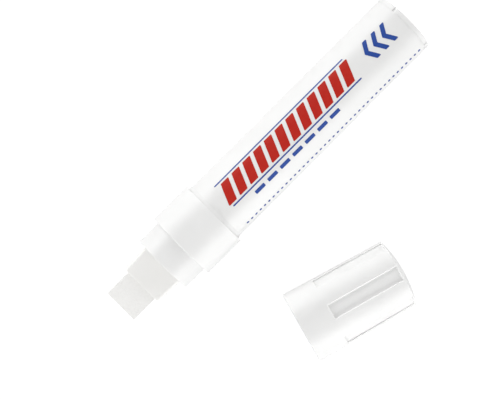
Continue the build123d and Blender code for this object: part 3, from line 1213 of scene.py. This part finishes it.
@dataclass
class NibUnit:
    """Felt nib with its loose surface fibres, and the pieces that move with it."""

    thickness: float = 5.0
    bevel: float = 4.0
    land: float = 1.2
    edge: float = 0.15
    edge_segments: int = 3
    edge_profile: float = 0.5
    cell: float = 0.25
    lump: float = 0.7
    fine_scale: float = 2.7
    fine_share: float = 0.6
    sink: float = 0.5
    fuzz: float = 0.03
    travel_margin: float = 0.4
    fade: float = 1.0
    fibre_length: float = 0.9
    fibre_lift: float = 0.05
    fibre_arch: float = 2.0
    fibre_radius: float = 0.012
    fibre_steps: int = 4
    fibre_sides: int = 3
    fibre_density: float = 3.0
    fibre_seed: int = 7

    def __post_init__(self) -> None:
        """Reads the stations that the frame gives, and how far the nib is pressed in."""
        nib = Span.of("nib")
        self.rear = nib.start
        self.tip = nib.end
        self.half_width = nib.reach
        self.sleeve_front = Span.of("nib_sleeve").end
        self.free_start = self.sleeve_front + nib_travel() + self.travel_margin

    def slab(self) -> bmesh.types.BMesh:
        """Felt slab with its writing end bevelled from below, its edges softened, cut into small cells."""
        half = self.thickness / 2
        outline = [
            (self.rear, -half),
            (self.tip - self.bevel, -half),
            (self.tip, half - self.land),
            (self.tip, half),
            (self.rear, half),
        ]
        near = [(x * MM, -self.half_width * MM, z * MM) for x, z in outline]
        far = [(x * MM, self.half_width * MM, z * MM) for x, z in outline]
        work = prism(near, far)
        bmesh.ops.bevel(
            work,
            geom=work.edges[:],
            offset=self.edge * MM,
            segments=self.edge_segments,
            profile=self.edge_profile,
            affect="EDGES",
        )
        ends = [(self.sleeve_front, self.tip), (-self.half_width, self.half_width), (-half, half)]
        for way, (low, high) in enumerate(ends):
            slice_across(work, way, low, high, round((high - low) / self.cell))
        return work

    def roughen(self, work: bmesh.types.BMesh) -> None:
        """Lifts and sinks the felt's surface a little where it stays outside the sleeve."""
        work.normal_update()
        moves = []
        for vertex in work.verts:
            share = (vertex.co.x / MM - self.free_start) / self.fade
            share = min(max(share, 0.0), 1.0)
            place = vertex.co / (self.lump * MM)
            fine = self.fine_share * noise.noise(place * self.fine_scale)
            rise = noise.noise(place) + fine - self.sink
            moves.append(vertex.normal * rise * self.fuzz * share * MM)
        for vertex, move in zip(work.verts, moves):
            vertex.co += move

    def build_nib(self) -> bpy.types.Object:
        """Felt nib."""
        work = self.slab()
        bmesh.ops.recalc_face_normals(work, faces=work.faces)
        self.roughen(work)
        mesh = finished(work, "nib_felt")
        settle(mesh)
        return link_object("nib_felt", mesh)

    def fibre_tree(self) -> GeometryTree:
        """Tree that scatters short arched fibres over the felt in front of a station."""
        tree = GeometryTree("felt_fibres")
        tree.add_inputs("Float", "Start", "Density", "Length", "Lift", "Radius")
        tree.add_inputs("Int", "Seed")
        tree.add_inputs("Material", "Felt")
        scatter = {
            "Mesh": tree.value("Geometry"),
            "Selection": tree.math("GREATER_THAN", tree.position()["X"], tree.value("Start")),
            "Density": tree.value("Density"),
            "Seed": tree.value("Seed"),
        }
        points = tree.node("GeometryNodeDistributePointsOnFaces", scatter).outputs
        half = tree.times(tree.value("Length"), 0.5)
        sunk = tree.times(tree.value("Lift"), -1.0)
        bow = {
            "Resolution": self.fibre_steps,
            "Start": tree.vector(X=tree.times(half, -1.0), Z=sunk),
            "Middle": tree.vector(Z=tree.times(tree.value("Lift"), self.fibre_arch)),
            "End": tree.vector(X=half, Z=sunk),
        }
        arch = tree.node("GeometryNodeCurveQuadraticBezier", bow).outputs["Curve"]
        spin = {
            "Rotation": points["Rotation"],
            "Rotate By": tree.vector(Z=tree.random_turn(tree.value("Seed"))),
        }
        turned = tree.node("FunctionNodeRotateRotation", spin, rotation_space="LOCAL")
        fibres = {
            "Points": points["Points"],
            "Instance": tree.tube(arch, tree.value("Radius"), self.fibre_sides),
            "Rotation": turned.outputs["Rotation"],
        }
        spread = tree.node("GeometryNodeInstanceOnPoints", fibres).outputs["Instances"]
        tree.finish(spread, tree.value("Felt"))
        return tree

    def build_fibres(self, nib: bpy.types.Object) -> bpy.types.Object:
        """Loose fibres on the felt that stays outside the sleeve."""
        values = {
            "Start": (self.free_start + self.fibre_length) * MM,
            "Density": self.fibre_density / MM**2,
            "Length": self.fibre_length * MM,
            "Lift": self.fibre_lift * MM,
            "Radius": self.fibre_radius * MM,
            "Seed": self.fibre_seed,
            "Felt": NIB_FELT.material(),
        }
        mesh = self.fibre_tree().run(nib.data.copy(), values)
        return joined("nib_fibres", [mesh])

    def build(self) -> None:
        """Builds and dresses the nib and what moves with it."""
        nib = self.build_nib()
        fibres = self.build_fibres(nib)
        dress(nib, NIB_FELT, Body.NIB, "nib")
        dress(fibres, NIB_FELT, Body.NIB)
        dress_nodes(INNER_PLASTIC, "nib_carrier", "valve_plunger")
        dress_nodes(SEAL_RUBBER, "valve_seal")


@dataclass
class Valve:
    """Valve behind the nib: its housing, its spring and the spring's retainer."""

    spring_radius: float = 3.4
    wire_radius: float = 0.35
    turns: float = 6.5
    end_closing: float = 0.55
    coil_steps: int = 40
    wire_sides: int = 12

    def __post_init__(self) -> None:
        """Reads the spring's span from the frame."""
        spring = Span.of("valve_spring")
        self.rear = spring.start
        self.length = spring.end - spring.start

    def coil_tree(self) -> GeometryTree:
        """Tree that winds a wire along X, with closer turns at both ends."""
        tree = GeometryTree("closed_coil")
        tree.add_inputs("Float", "Radius", "Wire", "Rear", "Length", "Turns", "Closing")
        tree.add_inputs("Int", "Points", "Sides")
        tree.add_inputs("Material", "Steel")
        line = tree.node("GeometryNodeMeshLine", {"Count": tree.value("Points")}).outputs["Mesh"]
        path = tree.node("GeometryNodeMeshToCurve", {"Mesh": line}).outputs["Curve"]
        index = tree.node("GeometryNodeInputIndex").outputs["Index"]
        share = tree.math("DIVIDE", index, tree.math("SUBTRACT", tree.value("Points"), 1.0))
        angle = tree.times(share, tree.times(tree.value("Turns"), 2 * math.pi))
        wave = tree.math("SINE", tree.times(share, 2 * math.pi))
        ease = tree.times(tree.value("Closing"), tree.math("DIVIDE", wave, 2 * math.pi))
        eased = tree.math("SUBTRACT", share, ease)
        along = tree.math("ADD", tree.value("Rear"), tree.times(eased, tree.value("Length")))
        across = tree.times(tree.value("Radius"), tree.math("COSINE", angle))
        up = tree.times(tree.value("Radius"), tree.math("SINE", angle))
        coil = tree.moved(path, tree.vector(X=along, Y=across, Z=up))
        wire = tree.tube(coil, tree.value("Wire"), tree.value("Sides"))
        tree.finish(wire, tree.value("Steel"))
        return tree

    def build_spring(self) -> bpy.types.Object:
        """Compression spring."""
        values = {
            "Radius": self.spring_radius * MM,
            "Wire": self.wire_radius * MM,
            "Rear": (self.rear + self.wire_radius) * MM,
            "Length": (self.length - 2 * self.wire_radius) * MM,
            "Turns": self.turns,
            "Closing": self.end_closing,
            "Points": round(self.turns * self.coil_steps) + 1,
            "Sides": self.wire_sides,
            "Steel": SPRING_STEEL.material(),
        }
        mesh = self.coil_tree().run(bpy.data.meshes.new("coil"), values)
        return joined("valve_spring_coil", [mesh])

    def build(self) -> None:
        """Builds and dresses the valve's pieces."""
        spring = dress(self.build_spring(), SPRING_STEEL, Body.MARKER, "valve_spring")
        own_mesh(spring)
        dress_nodes(INNER_PLASTIC, "valve_housing", "spring_retainer")


@dataclass
class MixingBall:
    """Loose steel ball in the barrel."""

    def build(self) -> None:
        """Dresses the ball."""
        dress_nodes(BALL_STEEL, "mixing_ball")


@dataclass
class Cap:
    """Cap shell with its flat-floored grooves, and the liner that seals on the nose."""

    length: float = 46.4
    crown: float = 2.15
    crown_steps: int = 8
    mouth: float = 15.8
    taper: float = 0.92
    seat: float = 14.3
    bore: float = 13.0
    end_wall: float = 1.6
    liner_wall: float = 0.8
    liner_end_wall: float = 1.0
    liner_bore: float = 12.2
    seat_depth: float = 12.0
    mount_depth: float = 6.0
    rim_rounding: float = 0.2
    end_rounding: float = 0.4
    inner_rounding: float = 0.2
    groove_start: float = 13.6
    groove_rim: float = 0.6
    groove_depth: float = 1.1
    groove_end_depth: float = 0.9
    grooves: Slots = Slots(count=6, width=6.6, first=2.8, rim=0.06, root=0.4, land_columns=24)

    def __post_init__(self) -> None:
        """Works out depths from the mouth: the grooves' ends, the seat's step and the shell's floor."""
        self.groove_end = self.length - self.groove_rim
        self.step_depth = self.seat_depth + self.liner_wall
        self.floor_depth = self.length - self.end_wall

    def place(self, floor_normal: Vector) -> Matrix:
        """Turn and shift that take the cap from its own axis to where it lies.

        Args:
            floor_normal: the way up from the surface that it lies on.

        Returns:
            Matrix from the cap's axes, with X from the mouth to the closed end, to the frame's.
        """
        row = mount("cap_bore")
        inwards = -Vector(row["axis"]).normalized()
        mouth = Vector(row["pos_m"]) - inwards * self.mount_depth * MM
        up = (floor_normal - inwards * floor_normal.dot(inwards)).normalized()
        return placing(inwards, up.cross(inwards), up, mouth)

    def radius(self, depth: float) -> float:
        """Outer radius at a depth from the mouth."""
        return self.mouth - self.taper * depth / self.length

    def groove_floor(self, depth: float) -> float:
        """Distance of the grooves' floors from the axis at a depth from the mouth."""
        first = self.radius(self.groove_start) - self.groove_depth
        last = self.radius(self.groove_end) - self.groove_end_depth
        share = (depth - self.groove_start) / (self.groove_end - self.groove_start)
        return first + (last - first) * share

    def groove_wall(self, station: float, way: int) -> list[Ring]:
        """Rings over the rounded wall at one end of the grooves.

        Args:
            station: depth from the mouth at which the wall stands.
            way: the way that the grooves run from it, 1 towards the closed end or -1 towards the mouth.

        Returns:
            The rings in order from the outside down to the floors.
        """
        rim = self.grooves.rim
        root = self.grooves.root
        steps = quarter_turn(ROUND_STEPS)
        cut = self.radius(station) - self.groove_floor(station)
        rows = []
        for angle in steps:
            rows.append((station + way * rim * (math.sin(angle) - 1.0), rim - rim * math.cos(angle)))
        for angle in steps:
            depth = station + way * root * (1.0 - math.cos(angle))
            rows.append((depth, cut - root + root * math.sin(angle)))
        rings = []
        for depth, sunk in rows:
            section = self.grooves.ring(self.radius(depth), self.groove_floor(depth), sunk / cut)
            rings.append(Ring(depth, section))
        return rings

    def plain_ring(self, depth: float, radius: float) -> Ring:
        """Round ring with as many columns as the grooved ones."""
        section = self.grooves.ring(self.mouth, self.mouth, 0.0)
        return Ring(depth, section * (radius / self.mouth))

    def shell_rings(self) -> list[Ring]:
        """Rings of the shell from the middle of its closed end, over its side, to the floor inside."""
        edge = self.groove_end + self.grooves.rim
        brim = self.radius(self.length)
        ball = (brim**2 + self.crown**2) / (2 * self.crown)
        corners = [Corner(edge, self.radius(edge)), Corner(self.length, brim, self.end_rounding)]
        for radius in np.linspace(brim, 0.0, self.crown_steps + 1)[1:]:
            sagged = ball - math.sqrt(ball**2 - radius**2)
            corners.append(Corner(self.length + self.crown - sagged, radius))
        closed_end = rounded(corners, False)
        rings = [self.plain_ring(depth, radius) for depth, radius in closed_end[-2:0:-1]]
        rings += self.groove_wall(self.groove_end, -1)
        rings += self.groove_wall(self.groove_start, 1)[::-1]
        land_end = self.groove_start - self.grooves.rim
        mouth_side = [
            Corner(land_end, self.radius(land_end)),
            Corner(0.0, self.mouth, self.rim_rounding),
            Corner(0.0, self.seat, self.inner_rounding),
            Corner(self.step_depth, self.seat),
            Corner(self.step_depth, self.bore),
            Corner(self.floor_depth, self.bore),
            Corner(self.floor_depth, 0.0),
        ]
        rings += [self.plain_ring(depth, radius) for depth, radius in rounded(mouth_side, False)[1:-1]]
        return with_poles(self.length + self.crown, rings, self.floor_depth)

    def liner_rings(self) -> list[Ring]:
        """Rings of the liner from the middle of its floor outside to the middle of its floor inside."""
        inner_floor = self.floor_depth - self.liner_end_wall
        lead = self.seat - self.liner_wall
        corners = [
            Corner(self.floor_depth, 0.0),
            Corner(self.floor_depth, self.bore),
            Corner(self.step_depth, self.bore),
            Corner(self.step_depth, self.seat),
            Corner(0.0, self.seat, self.inner_rounding),
            Corner(0.0, lead, self.rim_rounding),
            Corner(self.seat_depth, lead, self.inner_rounding),
            Corner(self.seat_depth, self.liner_bore, self.inner_rounding),
            Corner(inner_floor, self.liner_bore, 2 * self.inner_rounding),
            Corner(inner_floor, 0.0),
        ]
        return round_rings(rounded(corners, False), even_columns())

    def build(self, floor_normal: Vector) -> None:
        """Builds and dresses the cap's pieces.

        Args:
            floor_normal: the way up from the surface that the cap lies on.
        """
        place = self.place(floor_normal)
        shell = skin("cap_shell_grooved", self.shell_rings(), False, place)
        liner = skin("cap_liner_cup", self.liner_rings(), False, place)
        dress(shell, WHITE_PLASTIC, Body.CAP, "cap_shell")
        dress(liner, LINER_PLASTIC, Body.CAP, "cap_liner")


# Stage


@dataclass(frozen=True)
class Softbox:
    """Large upright soft light at a side or beyond an end of the marker.

    Attributes:
        name: its name.
        side: which side of the marker it stands on, -1 or 1 along Y.
        turn: how far it stands round towards the nib, with 90 beyond the nib and -90 beyond the tail.
        radiance: how bright its face is.
        away: how far it stands from the aim.
        spread: half the angle that it covers sideways, seen from the aim.
        low: angle of its lower edge above the aim.
        high: angle of its upper edge.
    """

    name: str
    side: int
    turn: float
    radiance: float
    away: float = 600.0
    spread: float = 39.0
    low: float = 12.0
    high: float = 26.0

    def build(self, aim: Vector) -> None:
        """Stands the light away from a point and turns it towards it.

        Args:
            aim: the point, in metres.
        """
        low = self.away * math.tan(math.radians(self.low))
        high = self.away * math.tan(math.radians(self.high))
        turn = math.radians(self.turn)
        outwards = Vector((math.sin(turn), self.side * math.cos(turn), 0.0))
        light = bpy.data.lights.new(self.name, "AREA")
        light.shape = "RECTANGLE"
        light.size = 2 * self.away * math.tan(math.radians(self.spread)) * MM
        light.size_y = (high - low) * MM
        light.energy = self.radiance * math.pi * light.size * light.size_y
        holder = link_object(self.name, light)
        holder.location = aim + (outwards * self.away + Vector((0.0, 0.0, (low + high) / 2))) * MM
        holder.rotation_euler = (-outwards).to_track_quat("-Z", "Y").to_euler()
        holder.visible_camera = False


@dataclass(frozen=True)
class PhotoCamera:
    """Camera almost straight above the marker, turned so that the marker lies from corner to corner."""

    aim_along: float = 97.85
    aim_aside: float = 6.72
    distance: float = 744.6
    lean: float = 0.8
    turn: float = 134.96
    lens: float = 129.15
    nearest: float = 10.0

    def build(self) -> None:
        """Makes the camera and gives it to the scene."""
        lens = bpy.data.cameras.new("photo_camera")
        lens.lens = self.lens
        lens.clip_start = self.nearest * MM
        holder = link_object("photo_camera", lens)
        lean = math.radians(self.lean)
        turn = math.radians(self.turn)
        back = Vector((math.sin(lean), 0.0, math.cos(lean)))
        right = Vector((math.cos(turn), math.sin(turn), 0.0))
        right = (right - back * right.dot(back)).normalized()
        aim = Vector((self.aim_along, self.aim_aside, 0.0)) * MM
        holder.matrix_world = placing(right, back.cross(right), back, aim + back * self.distance * MM)
        bpy.context.scene.camera = holder


@dataclass
class Stage:
    """Pale floor, even light all round, softboxes at the sides and beyond both ends, and the camera."""

    tail_edge: float = 0.4
    collar_edge: float = 0.5
    floor_size: float = 6000.0
    floor_gap: float = 0.02
    floor_shade: float = 0.1
    floor_roughness: float = 0.9
    floor_gloss: float = 0.0
    floor_glow: float = 0.97
    surround: float = 0.56
    boxes: tuple[Softbox, ...] = (
        Softbox("softbox_left", -1, 7.6, 5.9),
        Softbox("softbox_right", 1, 18.1, 6.7),
        Softbox("softbox_tail", 1, -90.0, 1.4, away=2000.0, low=0.0, high=40.0),
        Softbox("softbox_nib", 1, 90.0, 0.45, low=0.0, high=40.0),
    )
    camera: PhotoCamera = PhotoCamera()

    def floor_normal(self) -> Vector:
        """The way up from the surface that touches the tail's edge and the collar's rear edge."""
        collar = Span.of("nose_housing")
        tail = Span.of("tail_plug")
        run = collar.start + self.collar_edge - tail.start - self.tail_edge
        slope = (collar.reach - tail.reach) / run
        return Vector((slope, 0.0, 1.0)).normalized()

    def build_floor(self) -> None:
        """Large pale floor under the marker and the cap."""
        normal = self.floor_normal()
        along = Vector((normal.z, 0.0, -normal.x))
        aside = Vector((0.0, 1.0, 0.0))
        tail = Span.of("tail_plug")
        origin = Vector((tail.start + self.tail_edge, 0.0, -tail.reach)) - normal * self.floor_gap
        half = self.floor_size / 2
        corners = [(-half, -half), (half, -half), (half, half), (-half, half)]
        mesh = bpy.data.meshes.new("floor")
        places = [(origin + along * x + aside * y) * MM for x, y in corners]
        mesh.from_pydata(places, [], [(0, 1, 2, 3)])
        floor = link_object("floor", mesh)
        shader = Shader("pale_floor")
        shader.cover(
            {
                "Base Color": (self.floor_shade, self.floor_shade, self.floor_shade, 1.0),
                "Roughness": self.floor_roughness,
                "Specular IOR Level": self.floor_gloss,
                "Emission Color": WHITE_LIGHT,
                "Emission Strength": self.floor_glow,
            }
        )
        mesh.materials.append(shader.material)
        floor.visible_diffuse = False
        floor.visible_glossy = False
        floor.visible_shadow = False

    def build_light(self) -> None:
        """Even light all round, and the softboxes about the middle of the part."""
        scene = bpy.context.scene
        world = bpy.data.worlds.new("studio")
        world.use_nodes = True
        background = world.node_tree.nodes["Background"]
        background.inputs["Color"].default_value = WHITE_LIGHT
        background.inputs["Strength"].default_value = self.surround
        scene.world = world
        low, high = CAD_BOX
        aim = (low + high) / 2
        aim.z = low.z
        for box in self.boxes:
            box.build(aim)
        scene.view_settings.view_transform = "Standard"
        scene.view_settings.look = "None"

    def build(self) -> None:
        """Builds the stage."""
        self.build_floor()
        self.build_light()
        self.camera.build()


def main() -> None:
    """Builds the stage and the sub-assemblies in order."""
    logging.basicConfig(level=logging.INFO, format="%(name)s: %(message)s")
    stage = Stage()
    stage.build()
    barrel = Barrel()
    barrel.build()
    BarrelPrint(barrel).build()
    Nose().build()
    NibUnit().build()
    Valve().build()
    MixingBall().build()
    Cap().build(stage.floor_normal())


if __name__ == "__main__":
    main()
